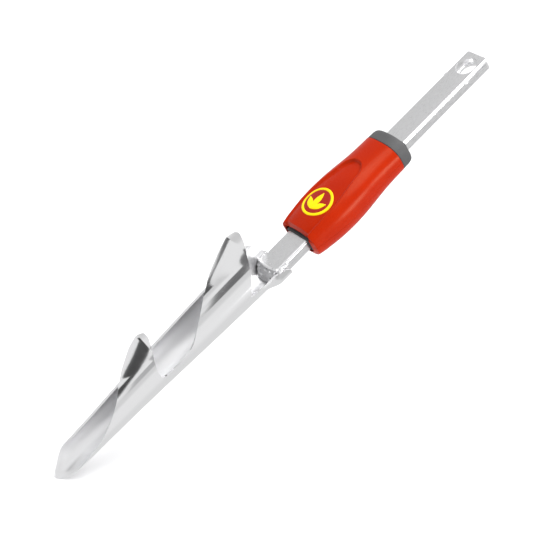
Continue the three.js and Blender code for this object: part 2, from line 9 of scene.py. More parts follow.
import bmesh
import bpy
import numpy as np
from mathutils import Matrix, Vector
from mathutils import noise


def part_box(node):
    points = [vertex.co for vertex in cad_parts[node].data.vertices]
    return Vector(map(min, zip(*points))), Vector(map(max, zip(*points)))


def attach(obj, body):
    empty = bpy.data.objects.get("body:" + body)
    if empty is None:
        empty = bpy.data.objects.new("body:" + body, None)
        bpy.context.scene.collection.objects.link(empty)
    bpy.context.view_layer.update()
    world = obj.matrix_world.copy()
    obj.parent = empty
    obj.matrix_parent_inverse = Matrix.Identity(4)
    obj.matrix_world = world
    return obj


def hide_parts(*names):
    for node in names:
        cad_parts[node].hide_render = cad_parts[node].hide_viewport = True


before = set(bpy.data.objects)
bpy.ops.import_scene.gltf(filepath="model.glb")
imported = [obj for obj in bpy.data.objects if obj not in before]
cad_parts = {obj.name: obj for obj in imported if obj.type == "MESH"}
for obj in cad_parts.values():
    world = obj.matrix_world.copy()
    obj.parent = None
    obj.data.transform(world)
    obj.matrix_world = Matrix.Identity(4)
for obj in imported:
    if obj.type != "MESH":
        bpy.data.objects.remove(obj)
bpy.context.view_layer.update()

MM = 0.001
OVERALL = 415.0


def box_mm(node):
    """Lowest and highest corner of a CAD node in millimetres."""
    low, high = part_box(node)
    return np.array(low) / MM, np.array(high) / MM


tongue_low = np.minimum(box_mm("tongue_front_half")[0], box_mm("tongue_rear_half")[0])
tongue_high = np.maximum(box_mm("tongue_front_half")[1], box_mm("tongue_rear_half")[1])
AXIS = np.array([*(tongue_low + tongue_high)[:2] / 2, tongue_high[2] - OVERALL])

# Blade: one rolled sheet; "turn" is the angle in degrees round it from its straight free edge.
# The tube's tables and at least half of the outlines' points follow a fitting program's output.
SHEET = 1.5
TURN_ZERO = 229
TURN_WINDOW = 231
TURN_END = 369
TUBE_RADIUS = [
    (0, 8.9), (20, 9.1), (40, 9.6), (60, 10.4), (80, 11.3), (100, 12.2), (120, 12.95), (140, 13.7),
    (160, 14.35), (180, 14.95), (208, 15.4),
]
TUBE_AXIS_Y = [(0, -8.1), (20, -8.2), (40, -8.6), (60, -9.2), (80, -9.75), (100, -10.1), (208, -10.15)]
NOTCH_LOW = 95.5
NOTCH_HIGH = 109
NOTCH_ROUND = (9, 3.2)  # degrees and millimetres of the window's rounded corner
LOWER_EDGE = [
    (0, 21), (16, 16.6), (42, 11.8), (71, 5.5), (90, 1.2), (109, 0), (138, 4.1), (155, 8.8), (183, 16.6),
    (212, 26.1), (222, 34.2), (245, 43.7), (263, 51.4), (286, 59.7), (311, 66.3), (337, 70.5),
    (352, 74.5), (361, 78.5), (366, 83), (TURN_END, 90),
]
FIRST_WING_TOP = [
    (TURN_WINDOW, NOTCH_LOW), (240, 93.8), (260, 93.9), (279, 96), (308, 100), (332, 104), (347, 106.6),
    (355, 106.8), (361, 104.2), (366, 98.5), (TURN_END, 93.5),
]
SECOND_WING_FOOT = [
    (TURN_WINDOW, NOTCH_HIGH), (234, 116.3), (241, 121.4), (256, 127.3), (270, 132.4), (283, 137.6),
    (298, 143.4), (316, 149.5), (343, 157.3), (360, 164.5), (366, 171.5), (TURN_END, 181),
]
TOP_EDGE = [
    (0, 195), (22, 200.8), (39, 203.8), (56, 205.5), (77, 207.8), (90, 208.8), (178, 208.8), (187, 207.2),
    (194, 203), (201, 196.5), (210, 189.7), (218, 182), (225, 174.3), (TURN_WINDOW, 175), (262, 181.8),
    (277, 185.2), (294, 188.5), (310, 191.2), (325, 194.7), (345, 198.7), (355, 200.4), (361, 199.8),
    (366, 195.5), (TURN_END, 187),
]
WING_LIFT = 0.0023
PEEL_TURN = (335, 290)
PEEL_FROM = (68, 151)
PEEL_OVER = (34, 42)
HUG_GAP = 0.45
HUG_HEIGHT = (186, 199)
HUG_SHARPNESS = 16
HUG_TURN_IN, HUG_TURN_OUT = (10, 60), (235, 265)  # where the tail takes to the tongue and leaves it
GROUND_WIDTH = 3.4  # the ground bevel inside the lower edge
GROUND_EDGE = 0.45  # sheet thickness left at that edge
GROUND_FADE = (215, 300)  # turns over which the bevel runs out
GROUND_ROWS = [0, 0.5, 1.2, 2.2, 3.0, 3.6]  # heights of the mesh's rows above the edge
GROUND_ROOM = 9  # the rows close up where the band below the window is lower than this

# Tongue
BAR_WIDTH, BAR_THICK = 21.0, 8.8
BAR_WALL = 1.7
BAR_CORNER = 1.8
BAR_INNER_CORNER = 0.6
BAR_EDGE = 0.22
BAR_LOW = 199.4
BAR_END_CORNER = 3.0
LATCH_HOLE = 16.2
LATCH_HOLE_TO_END = 11.7
SEAM_Y = BAR_WALL - BAR_THICK / 2
SEAM_GAP = 0.05
SPLIT_LENGTH = 21.0
SPLIT_GAP = 1.5
SCREW_AT = (266, 303)
SCREW_BORE = 4.6
BEYOND = 9  # how far the tongue's cutters reach to front and back

# Sleeve; the half widths and at least part of the half depths follow a fitting program's output
SLEEVE_LOW, SLEEVE_HIGH = 230.3, 316.3
SLEEVE_WALL, SLEEVE_RIM = 2.2, 4.0
RIM_HEIGHT, RIM_SLOPE = 4.0, 1.3
SLEEVE_HALF_WIDTH = [
    (229, 17.3), (231.5, 18.3), (235, 18.85), (240, 19.3), (246, 20), (252, 20.6), (258, 20.95),
    (264, 21), (270, 20.75), (276, 20.35), (282, 19.75), (288, 18.95), (294, 18.35), (300, 17.95),
    (308, 17.8), (330, 17.85),
]
SLEEVE_HALF_DEPTH = [
    (229, 12), (232, 12.8), (240, 14.4), (254, 15.6), (268, 15.8), (285, 15.1), (300, 14), (316, 13.2),
    (330, 13.1),
]
SLEEVE_SQUARENESS = 2.6
PARTING_BOW = 2.8
PARTING_GAP = 0.05
MOUTH_RISE, MOUTH_BLEND = 2.4, 12
PANEL_TOP, PANEL_ARCH = 296.5, 13
PANEL_HALF_WIDTH = [(230, 13.6), (245, 14.6), (258, 14.7), (271, 13), (283.5, 10.4)]
PANEL_DEPTH = [(230, 1.4), (255, 1.6), (275, 1.9), (293, 2.3)]
PANEL_EDGE = 2.2
COLLAR_LOW, COLLAR_HIGH = 316.6, 326
CORE_LOW, CORE_TOP = 229.7, 327.6
CORE_OUTER = (25, 12)
CORE_BORE = (21.8, 9.6)
CORE_RIBS = (243, 285, 309)
CORE_RIB_THICK = 2
RIB_CLEARANCE = (6.2, 5.4)

# Badge
BADGE_AT = 254.8
BADGE_HALF = (12.2, 12.0)
BADGE_RING = 2.0
BADGE_THICK = 0.5
LEAF_FOOT = 7.2
LEAVES = [(0, 15, 5), (0.8, 12, 4.4), (-0.8, 12, 4.4)]  # lean, length and width


def through(points):
    """A smooth monotone function through points, level beyond both ends."""
    x, y = np.array(points, float).T
    chord = np.diff(y) / np.diff(x)
    slope = np.empty(len(x))
    slope[0], slope[-1] = chord[0], chord[-1]
    same = chord[:-1] * chord[1:] > 0
    with np.errstate(divide="ignore", invalid="ignore"):
        slope[1:-1] = np.where(same, 2 * chord[:-1] * chord[1:] / (chord[:-1] + chord[1:]), 0)

    def value(at):
        at = np.clip(at, x[0], x[-1])
        i = np.clip(np.searchsorted(x, at, side="right") - 1, 0, len(x) - 2)
        w = x[i + 1] - x[i]
        t = (at - x[i]) / w
        rise = y[i + 1] - y[i]
        a, b = slope[i] * w, slope[i + 1] * w
        return y[i] + t * (a + t * (3 * rise - 2 * a - b + t * (a + b - 2 * rise)))

    return value


def smooth(value, low, high):
    t = np.clip((value - low) / (high - low), 0, 1)
    return t * t * (3 - 2 * t)


def ramp(value, low, high):
    return np.clip((value - low) / (high - low), 0, 1)


def joined(*stretches):
    """Even steps between given stops: (from, to, count), each starting where the last ended."""
    parts = [np.linspace(a, b, n + 1)[(0 if i == 0 else 1):] for i, (a, b, n) in enumerate(stretches)]
    return np.concatenate(parts)


# Meshes
def placed_mesh(name, bm):
    """A mesh in the CAD frame, from a bmesh in millimetres about the tool's axis."""
    bmesh.ops.recalc_face_normals(bm, faces=bm.faces)
    mesh = bpy.data.meshes.new(name)
    bm.to_mesh(mesh)
    bm.free()
    mesh.transform(Matrix.Diagonal((MM, MM, MM, 1)) @ Matrix.Translation(Vector(AXIS)))
    return mesh


def linked(name, data):
    """A new object in the scene."""
    item = bpy.data.objects.new(name, data)
    bpy.context.scene.collection.objects.link(item)
    return item


def evaluated_mesh(piece):
    """The mesh that a piece's modifiers make; the piece takes it over and drops them."""
    bpy.context.view_layer.update()
    evaluated = piece.evaluated_get(bpy.context.evaluated_depsgraph_get())
    mesh = bpy.data.meshes.new_from_object(evaluated)
    piece.modifiers.clear()
    piece.data = mesh
    return mesh


def shade(mesh, sharp):
    """Smooth shading, broken at edges above an angle in degrees."""
    for polygon in mesh.polygons:
        polygon.use_smooth = True
    mesh.set_sharp_from_angle(angle=math.radians(sharp))


def round_edges(piece, width, angle, segments=2):
    """Rounds edges above an angle in degrees."""
    edge = piece.modifiers.new("edges", "BEVEL")
    edge.width = width * MM
    edge.segments = segments
    edge.limit_method = "ANGLE"
    edge.angle_limit = math.radians(angle)
    edge.harden_normals = True


def finish_mesh(name, bm, material, replaces, sharp=35, bevel=0.0, segments=2):
    """Turns a bmesh in millimetres about the tool's axis into a piece of the object."""
    mesh = placed_mesh(name, bm)
    shade(mesh, sharp)
    mesh.materials.append(material)
    piece = linked(name, mesh)
    if bevel:
        round_edges(piece, bevel, 48, segments)
    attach(piece, "root")
    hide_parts(replaces)
    return piece


def sheet_bmesh(front, back, has=None, wrap=False):
    """A closed sheet between two grids of points, with walls round its edges and holes."""
    columns, rows = front.shape[:2]
    cells = columns if wrap else columns - 1
    has = np.ones((cells, rows - 1), bool) if has is None else has
    bm = bmesh.new()
    made = {}

    def point(i, j, side):
        key = (i % columns, j, side)
        if key not in made:
            made[key] = bm.verts.new((front if side else back)[key[0], j])
        return made[key]

    def there(i, j):
        if j < 0 or j >= rows - 1 or (not wrap and not 0 <= i < cells):
            return False
        return has[i % cells, j]

    for i in range(cells):
        for j in range(rows - 1):
            if not has[i, j]:
                continue
            k, m = i + 1, j + 1
            faces = [
                (point(i, j, 1), point(k, j, 1), point(k, m, 1), point(i, m, 1)),
                (point(i, j, 0), point(i, m, 0), point(k, m, 0), point(k, j, 0)),
            ]
            if not there(i, j - 1):
                faces.append((point(i, j, 0), point(k, j, 0), point(k, j, 1), point(i, j, 1)))
            if not there(i, j + 1):
                faces.append((point(i, m, 1), point(k, m, 1), point(k, m, 0), point(i, m, 0)))
            if not there(i - 1, j):
                faces.append((point(i, j, 1), point(i, m, 1), point(i, m, 0), point(i, j, 0)))
            if not there(i + 1, j):
                faces.append((point(k, j, 0), point(k, m, 0), point(k, m, 1), point(k, j, 1)))
            for corners in faces:
                bm.faces.new(corners)
    return bm


def stack_bmesh(loops, capped=False):
    """Closed loops of points joined in order: the last to the first, or else with flat ends."""
    bm = bmesh.new()
    rings = [[bm.verts.new(p) for p in loop] for loop in loops]
    following = rings[1:] if capped else rings[1:] + rings[:1]
    for a, b in zip(rings, following):
        for i in range(len(a)):
            j = (i + 1) % len(a)
            bm.faces.new((a[i], a[j], b[j], b[i]))
    if capped:
        bm.faces.new(rings[0][::-1])
        bm.faces.new(rings[-1])
    return bm


def prism_bmesh(levels):
    return stack_bmesh(levels, capped=True)


# Blade
tube_radius = through(TUBE_RADIUS)
tube_axis_y = through(TUBE_AXIS_Y)
lower_edge = through(LOWER_EDGE)
first_wing_top = through(FIRST_WING_TOP)
second_wing_foot = through(SECOND_WING_FOOT)
top_edge = through(TOP_EDGE)
HUG_HALF_WIDTH = BAR_WIDTH / 2 + HUG_GAP + SHEET / 2
HUG_BACK = BAR_THICK / 2 + HUG_GAP + SHEET / 2


def blade_middle(turn, z):
    """The middle of the sheet."""
    angle = np.radians(TURN_ZERO - turn)
    low = z < NOTCH_HIGH
    foot = np.where(low, PEEL_FROM[0], PEEL_FROM[1])
    over = np.where(low, PEEL_OVER[0], PEEL_OVER[1])
    along = np.clip((z - foot) / over, 0, 1)
    peel = PEEL_TURN[0] + (PEEL_TURN[1] - PEEL_TURN[0]) * along
    lift = WING_LIFT * np.maximum(turn - peel, 0) ** 2
    across = np.abs(np.cos(angle)) / HUG_HALF_WIDTH
    back = np.maximum(np.sin(angle), 0) / (HUG_BACK - tube_axis_y(z))
    hugged = (across**HUG_SHARPNESS + back**HUG_SHARPNESS) ** (-1 / HUG_SHARPNESS)
    hug = smooth(z, *HUG_HEIGHT) * smooth(turn, *HUG_TURN_IN) * (1 - smooth(turn, *HUG_TURN_OUT))
    radius = tube_radius(z) * (1 - hug) + hugged * hug + lift
    return np.stack([radius * np.cos(angle), tube_axis_y(z) + radius * np.sin(angle), z], -1)


def blade_faces():
    """Grids of the outer and inner face, and which cells exist."""
    turns = joined((0, 12, 8), (12, 225, 110), (225, TURN_WINDOW, 6), (TURN_WINDOW, 241, 12),
                   (241, 350, 60), (350, TURN_END, 34))
    ground = np.array(GROUND_ROWS)
    low_count, window_count, high_count = 44, 12, 64
    windowed = turns > TURN_WINDOW + 1e-6
    over, up = NOTCH_ROUND
    near = np.clip(1 - (turns - TURN_WINDOW) / over, 0, 1)
    corner = up * (1 - np.sqrt(1 - near**2))
    low = lower_edge(turns)
    window_low = np.where(windowed, first_wing_top(turns), NOTCH_LOW) + np.where(windowed, corner, up)
    window_high = np.where(windowed, second_wing_foot(turns), NOTCH_HIGH)
    top = top_edge(turns)
    fit = np.minimum(1, (window_low - low) / GROUND_ROOM)[:, None]
    first = low[:, None] + ground * fit
    rest = np.linspace(0, 1, low_count + 1)[1:]
    lower = first[:, -1:] + (window_low[:, None] - first[:, -1:]) * rest
    rest = np.linspace(0, 1, window_count + 1)[1:]
    middle = window_low[:, None] + (window_high - window_low)[:, None] * rest
    rest = np.linspace(0, 1, high_count + 1)[1:]
    upper = window_high[:, None] + (top - window_high)[:, None] * rest
    z = np.concatenate([first, lower, middle, upper], 1)
    turn = np.broadcast_to(turns[:, None], z.shape)
    reach = 0.4
    centre = blade_middle(turn, z)
    around = blade_middle(turn + reach, z) - blade_middle(turn - reach, z)
    along = blade_middle(turn, z + reach) - blade_middle(turn, z - reach)
    out = np.cross(along, around)
    out /= np.linalg.norm(out, axis=-1, keepdims=True)
    slope = (lower_edge(turn + 1) - lower_edge(turn - 1)) / (2 * np.radians(1) * tube_radius(z))
    from_edge = (z - low[:, None]) / np.sqrt(1 + slope**2)
    thinned = (SHEET - GROUND_EDGE) * (1 - ramp(from_edge, 0, GROUND_WIDTH))
    thinned *= 1 - smooth(turn, *GROUND_FADE)
    outer = centre + out * SHEET / 2
    inner = centre - out * (SHEET / 2 - thinned)[..., None]
    cells = np.ones((len(turns) - 1, z.shape[1] - 1), bool)
    first_open = len(ground) - 1 + low_count
    cells[turns[:-1] > TURN_WINDOW - 1e-6, first_open:first_open + window_count] = False
    return outer, inner, cells


# Tongue
def arc(x, y, radius, start, end, count=10):
    turn = np.linspace(start, end, count + 1)
    return [(x + radius * math.cos(a), y + radius * math.sin(a)) for a in turn]


def plate_profile():
    """Cover plate: flat front with rounded long edges, from the seam forwards."""
    half, front, seam = BAR_WIDTH / 2, -BAR_THICK / 2, SEAM_Y - SEAM_GAP
    drop = math.asin((front + BAR_CORNER - seam) / BAR_CORNER)
    left = arc(-half + BAR_CORNER, front + BAR_CORNER, BAR_CORNER, math.pi + drop, 1.5 * math.pi)
    right = arc(half - BAR_CORNER, front + BAR_CORNER, BAR_CORNER, 1.5 * math.pi, 2 * math.pi - drop)
    return left + right


def channel_profile(split):
    """Pressed channel behind the seam; its legs end a distance split behind the seam."""
    half, back, front = BAR_WIDTH / 2, BAR_THICK / 2, SEAM_Y + SEAM_GAP + split
    inside, deep = half - BAR_WALL, back - BAR_WALL
    outline = [(half, front)]
    outline += arc(half - BAR_CORNER, back - BAR_CORNER, BAR_CORNER, 0, math.pi / 2)
    outline += arc(-half + BAR_CORNER, back - BAR_CORNER, BAR_CORNER, math.pi / 2, math.pi)
    outline += [(-half, front), (-inside, front)]
    r = BAR_INNER_CORNER
    outline += arc(-inside + r, deep - r, r, math.pi, math.pi / 2, 4)
    outline += arc(inside - r, deep - r, r, math.pi / 2, 0, 4)
    return outline + [(inside, front)]


def cutter(bm):
    """An object to cut with, in the piece's own place."""
    return linked("cutter", placed_mesh("cutter", bm))


def rod_bmesh(radius, x, z, front, back, count=96):
    turn = np.linspace(0, 2 * math.pi, count, endpoint=False)
    ring = lambda y: [(x + radius * math.cos(a), y, z + radius * math.sin(a)) for a in turn]
    return prism_bmesh([ring(front), ring(back)])


def end_outline_bmesh():
    """What is left of the tongue once its end corners are rounded."""
    half, top = BAR_WIDTH / 2, OVERALL - BAR_END_CORNER
    wide, low, clear = half + 3, BAR_LOW - 5, half + 0.02
    outline = [(-wide, low), (wide, low), (wide, top), (clear, top)]
    outline += arc(half - BAR_END_CORNER, top, BAR_END_CORNER, 0, math.pi / 2, 14)
    outline += arc(-half + BAR_END_CORNER, top, BAR_END_CORNER, math.pi / 2, math.pi, 14)
    outline += [(-clear, top), (-wide, top)]
    return prism_bmesh([[(x, y, z) for x, z in outline] for y in (-BEYOND, BEYOND)])


def cut(piece, tools):
    """Applies booleans: (operation, cutter) in order, then drops the cutters."""
    for operation, tool in tools:
        boolean = piece.modifiers.new("cut", "BOOLEAN")
        boolean.operation = operation
        boolean.solver = "EXACT"
        boolean.object = tool
    evaluated_mesh(piece)
    for _, tool in tools:
        bpy.data.objects.remove(tool)


def tongue_half(name, replaces, front, material):
    bend = OVERALL - SPLIT_LENGTH
    levels = []
    for z in (BAR_LOW, bend, OVERALL):
        split = SPLIT_GAP * max(z - bend, 0) / SPLIT_LENGTH
        profile = plate_profile() if front else channel_profile(split)
        levels.append([(x, y, z) for x, y in profile])
    piece = finish_mesh(name, prism_bmesh(levels), material, replaces, sharp=30)
    bores = [(LATCH_HOLE, OVERALL - LATCH_HOLE_TO_END)] + [(SCREW_BORE, z) for z in SCREW_AT]
    tools = [("DIFFERENCE", cutter(rod_bmesh(d / 2, 0, z, -BEYOND, BEYOND))) for d, z in bores]
    cut(piece, [("INTERSECT", cutter(end_outline_bmesh()))] + tools)
    shade(piece.data, 30)
    round_edges(piece, BAR_EDGE, 60)
    return piece


# Sleeve
sleeve_half_width = through(SLEEVE_HALF_WIDTH)
sleeve_half_depth = through(SLEEVE_HALF_DEPTH)
panel_dip = through(PANEL_DEPTH)
panel_half_width = through(PANEL_HALF_WIDTH)
MOUTH_HALF_WIDTH = float(panel_half_width(SLEEVE_LOW))
OVAL_POWER = 2 / SLEEVE_SQUARENESS


def oval(angle, half_width, half_depth):
    c, s = np.cos(angle), np.sin(angle)
    return (half_width * np.sign(c) * np.abs(c) ** OVAL_POWER,
            half_depth * np.sign(s) * np.abs(s) ** OVAL_POWER)


def parting_at(z):
    return PARTING_BOW * np.sin(math.pi * ramp(z, SLEEVE_LOW, SLEEVE_HIGH))


def panel_depth(x, z):
    foot = PANEL_TOP - PANEL_ARCH
    rise = ramp(z, foot, PANEL_TOP)
    half = panel_half_width(z) * np.sqrt(1 - rise**2)
    inside = np.minimum(half - np.abs(x), PANEL_TOP - z)
    return panel_dip(z) * smooth(inside, -0.2, PANEL_EDGE)


def mouth_rise(x):
    return MOUTH_RISE * (1 - smooth(np.abs(x), MOUTH_HALF_WIDTH - 3, MOUTH_HALF_WIDTH + 1))


def shell_grid(turn, level, outside, front):
    rim = 0 * level if outside else 1 - ramp(level, SLEEVE_LOW, SLEEVE_LOW + RIM_HEIGHT)
    inset = 0 * level if outside else SLEEVE_WALL + (SLEEVE_RIM - SLEEVE_WALL) * rim

    def at(height):
        width, depth = sleeve_half_width(height) - inset, sleeve_half_depth(height) - inset
        line = parting_at(height) + (-PARTING_GAP if front else PARTING_GAP)
        start = np.arcsin(np.clip(line / depth, 0, 1) ** (1 / OVAL_POWER))
        end = -math.pi - start if front else math.pi - start
        return oval(start + (end - start) * turn, width, depth)

    raised = level
    if front:
        x, y = at(level)
        fade = 1 - ramp(level, SLEEVE_LOW, SLEEVE_LOW + MOUTH_BLEND)
        raised = level + np.where(y < 0, fade * mouth_rise(x), 0)
    x, y = at(raised)
    if front:
        sunk = y + panel_depth(x, raised)
        nearest = 0 if outside else -CORE_OUTER[1] / 2 - 0.3
        sunk = np.where(np.abs(x) < MOUTH_HALF_WIDTH, np.minimum(sunk, nearest), sunk)
        y = np.where(y > 0, y, sunk)
    return np.stack([x, y, raised - RIM_SLOPE * rim], -1)


def shell_bmesh(front):
    turns = np.linspace(0, 1, 221 if front else 121)
    levels = joined((SLEEVE_LOW, SLEEVE_LOW + 1, 2), (SLEEVE_LOW + 1, PANEL_TOP - PANEL_ARCH, 44),
                    (PANEL_TOP - PANEL_ARCH, PANEL_TOP + 2, 40), (PANEL_TOP + 2, SLEEVE_HIGH, 14))
    turn, level = np.meshgrid(turns, levels, indexing="ij")
    return sheet_bmesh(shell_grid(turn, level, True, front), shell_grid(turn, level, False, front))


def rounded_loop(width, depth, corner, z, count=8):
    x, y = width / 2 - corner, depth / 2 - corner
    loop = []
    for k, (sx, sy) in enumerate([(1, 1), (-1, 1), (-1, -1), (1, -1)]):
        loop += arc(sx * x, sy * y, corner, k * math.pi / 2, (k + 1) * math.pi / 2, count)
    return [(px, py, z) for px, py in loop]


def core_bmesh():
    lip = 0.5
    loops = []
    loops.append(rounded_loop(CORE_OUTER[0] - 2 * lip, CORE_OUTER[1] - 2 * lip, 2.6, CORE_LOW))
    loops += [rounded_loop(*CORE_OUTER, 3, z) for z in (CORE_LOW + lip, CORE_LOW + 4)]
    for z in CORE_RIBS:
        width = 2 * (float(sleeve_half_width(z)) - RIB_CLEARANCE[0])
        depth = 2 * (float(sleeve_half_depth(z)) - RIB_CLEARANCE[1])
        loops += [rounded_loop(*CORE_OUTER, 3, z), rounded_loop(width, depth, 6, z)]
        top = z + CORE_RIB_THICK
        loops += [rounded_loop(width, depth, 6, top), rounded_loop(*CORE_OUTER, 3, top)]
    loops.append(rounded_loop(*CORE_OUTER, 3, CORE_TOP - lip))
    loops.append(rounded_loop(CORE_OUTER[0] - 0.3, CORE_OUTER[1] - 0.3, 2.9, CORE_TOP - lip / 3))
    loops.append(rounded_loop(CORE_OUTER[0] - 2 * lip, CORE_OUTER[1] - 2 * lip, 2.6, CORE_TOP))
    loops += [rounded_loop(*CORE_BORE, 1.8, CORE_TOP), rounded_loop(*CORE_BORE, 1.8, CORE_LOW)]
    return stack_bmesh(loops)


def collar_bmesh():
    turn = np.linspace(0, 2 * math.pi, 160, endpoint=False)
    rings = [(COLLAR_LOW, 0.5), (COLLAR_LOW + 0.4, 0.15), (COLLAR_LOW + 5.5, 0.3),
             (COLLAR_HIGH - 2.4, 0.55), (COLLAR_HIGH - 1.4, 0.85), (COLLAR_HIGH - 0.6, 1.35),
             (COLLAR_HIGH - 0.15, 1.9), (COLLAR_HIGH, 2.6)]
    loops = []
    for z, inset in rings:
        x, y = oval(turn, sleeve_half_width(z) - inset, sleeve_half_depth(z) - inset)
        loops.append(np.stack([x, y, np.full_like(x, z)], -1))
    power = 2 / 7
    c, s = np.cos(turn), np.sin(turn)
    x = (CORE_OUTER[0] / 2 + 0.3) * np.sign(c) * np.abs(c) ** power
    y = (CORE_OUTER[1] / 2 + 0.3) * np.sign(s) * np.abs(s) ** power
    for z in (COLLAR_HIGH, COLLAR_LOW):
        loops.append(np.stack([x, y, np.full_like(x, z)], -1))
    return stack_bmesh(loops)


# Badge
def panel_point(x, z, lift):
    width, depth = sleeve_half_width(z), sleeve_half_depth(z)
    y = -depth * (1 - np.abs(x / width) ** SLEEVE_SQUARENESS) ** (1 / SLEEVE_SQUARENESS)
    return np.stack([x, y + panel_depth(x, z) - lift, z], -1)


def badge_band(inner, outer, low, high):
    """A ring or disc on the panel, with softly rounded rims."""
    turn = np.linspace(0, 2 * math.pi, 128, endpoint=False)[:, None]
    scale = np.linspace(outer, inner, 13)[None, :]
    x, z = BADGE_HALF[0] * scale * np.cos(turn), BADGE_AT + BADGE_HALF[1] * scale * np.sin(turn)
    from_rim = np.minimum(outer - scale, scale - inner if inner > 0.05 else 1) * BADGE_HALF[0]
    crown = (high - low) * (0.45 + 0.55 * np.sqrt(ramp(from_rim, 0, 0.5)))
    return sheet_bmesh(panel_point(x, z, low + crown), panel_point(x, z, low), wrap=True)


def emblem_bmesh(low, high):
    """Three leaves rising from one foot; each is crowned along its middle."""
    whole = bmesh.new()
    for lean, length, width in LEAVES:
        along, side = np.meshgrid(np.linspace(0.02, 0.98, 33), np.linspace(1, -1, 13), indexing="ij")
        half = width / 2 * np.sin(math.pi * along) * side
        x = length * along * math.sin(lean) + half * math.cos(lean)
        z = BADGE_AT - LEAF_FOOT + length * along * math.cos(lean) - half * math.sin(lean)
        crown = low + (high - low) * (0.5 + 0.5 * np.sqrt(np.clip(1 - side**2, 0, 1)))
        leaf = sheet_bmesh(panel_point(x, z, crown), panel_point(x, z, low))
        mesh = bpy.data.meshes.new("leaf")
        leaf.to_mesh(mesh)
        leaf.free()
        whole.from_mesh(mesh)
        bpy.data.meshes.remove(mesh)
    return whole


# Welds: rows and beads of overlapping drops
FILLET_HALF, FILLET_DROPS = 10.4, 43
FILLET_ROWS = [  # share of the width, ripple, depth, height, rise at both ends, and half sizes of a drop
    (0.98, 0.12, -3.9, 198.6, 1.6, (0.9, 1.5, 1.7)),
    (0.9, 0, -2.2, 196.9, 1.3, (0.9, 1.7, 1.9)),
    (0.8, 0, 0.2, 195.6, 1, (0.9, 2.2, 2.4)),
    (0.72, 0, 2.2, 194.6, 0.5, (0.9, 1.4, 3.2)),
]
FILLET_PITS = [((-7.2, -4.3, 197.4), 0.6), ((-4.4, -4.6, 196.6), 0.5), ((0.2, -4.4, 196.4), 0.6),
               ((5.6, -4.3, 197.2), 0.7)]
LEG_FOOT, LEG_RISE, LEG_DROPS = (11.3, -3.1, 200.4), (-0.4, -0.2, 8.6), 18
LEG_HALF_WIDTH, LEG_TAPER, LEG_HALF_DEPTH, LEG_HALF_HEIGHT = 1.75, 0.3, 1.45, 1.2
LEG_PIT, LEG_PIT_SIZE = (12.4, -4.3, 204.2), 0.5
TACK_X, TACK_BELOW_SPLIT, TACK_STEP, TACK_SIZE = 10.5, 2.5, 0.9, (1.1, 1.05, 1.3)
WELD_LUMP, WELD_LUMP_SCALE, PIT_DEPTH = 0.22, 0.55, 0.9


def weld(name, drops, pits, material, replaces, voxel=0.42):
    """Weld metal: overlapping drops (centre and three half sizes) fused, smoothed and rippled."""
    bm = bmesh.new()
    for centre, size in drops:
        place = Matrix.Translation(Vector(centre)) @ Matrix.Diagonal((*size, 1))
        bmesh.ops.create_icosphere(bm, subdivisions=3, radius=1, matrix=place)
    piece = finish_mesh(name, bm, material, replaces, sharp=180)
    remesh = piece.modifiers.new("fuse", "REMESH")
    remesh.mode = "VOXEL"
    remesh.voxel_size = voxel * MM
    remesh.use_smooth_shade = True
    soften = piece.modifiers.new("soften", "SMOOTH")
    soften.iterations = 8
    mesh = evaluated_mesh(piece)
    mesh.materials.clear()
    mesh.materials.append(material)
    places = np.array([v.co for v in mesh.vertices]) / MM - AXIS
    normals = np.array([v.normal for v in mesh.vertices])
    moved = []
    for at, out in zip(places, normals):
        push = WELD_LUMP * noise.noise(Vector(at) * WELD_LUMP_SCALE)
        for pit, size in pits:
            push -= PIT_DEPTH * math.exp(-(np.linalg.norm(at - pit) / size) ** 2)
        moved.append(at + out * push)
    mesh.vertices.foreach_set("co", ((np.array(moved) + AXIS) * MM).ravel())
    for polygon in mesh.polygons:
        polygon.use_smooth = True
    mesh.update()
    return piece


def end_fillet(material):
    """A rim of weld round the tongue's lower end, sloping back into the trough of the tail."""
    drops = []
    for i in range(FILLET_DROPS):
        x = -FILLET_HALF + 2 * FILLET_HALF * i / (FILLET_DROPS - 1)
        bow = (x / FILLET_HALF) ** 2
        for share, ripple, y, z, rise, size in FILLET_ROWS:
            drops.append(((x * share, y + ripple * math.sin(1.7 * i), z + rise * bow), size))
    return weld("end_fillet_weld", drops, FILLET_PITS, material, "weld_end_fillet")


def leg_weld(name, side, material, replaces):
    """A short bead up the tongue's edge, lapping onto the ear of the tail."""
    drops = []
    for i in range(LEG_DROPS):
        t = i / (LEG_DROPS - 1)
        x, y, z = (foot + rise * t for foot, rise in zip(LEG_FOOT, LEG_RISE))
        swell = 1 + 0.12 * math.sin(2.2 * i)
        size = ((LEG_HALF_WIDTH - LEG_TAPER * t) * swell, LEG_HALF_DEPTH * swell, LEG_HALF_HEIGHT)
        drops.append(((side * x, y, z), size))
    pits = [((side * LEG_PIT[0], *LEG_PIT[1:]), LEG_PIT_SIZE)]
    return weld(name, drops, pits, material, replaces, voxel=0.34)


def seam_tack(name, side, material, replaces):
    z = OVERALL - SPLIT_LENGTH - TACK_BELOW_SPLIT
    drops = [((side * TACK_X, SEAM_Y, z + k * TACK_STEP), TACK_SIZE) for k in (-1, 0, 1)]
    return weld(name, drops, [], material, replaces, voxel=0.24)


# Screws
SCREW_TIP_Y, SCREW_SEAT_Y, SCREW_HEAD_Y = -9.1, 9.5, 11.5
THREAD_PITCH, THREAD_TURNS = 1.4, 11
THREAD_CORE, THREAD_CREST = 1.45, 1.9
SLOT_LONG, SLOT_SHORT = 2.0, 0.55
SLOT_LEVELS = ((9.9, 0.6), (12.5, 1.1))  # Y and size there, so that the slot narrows inwards


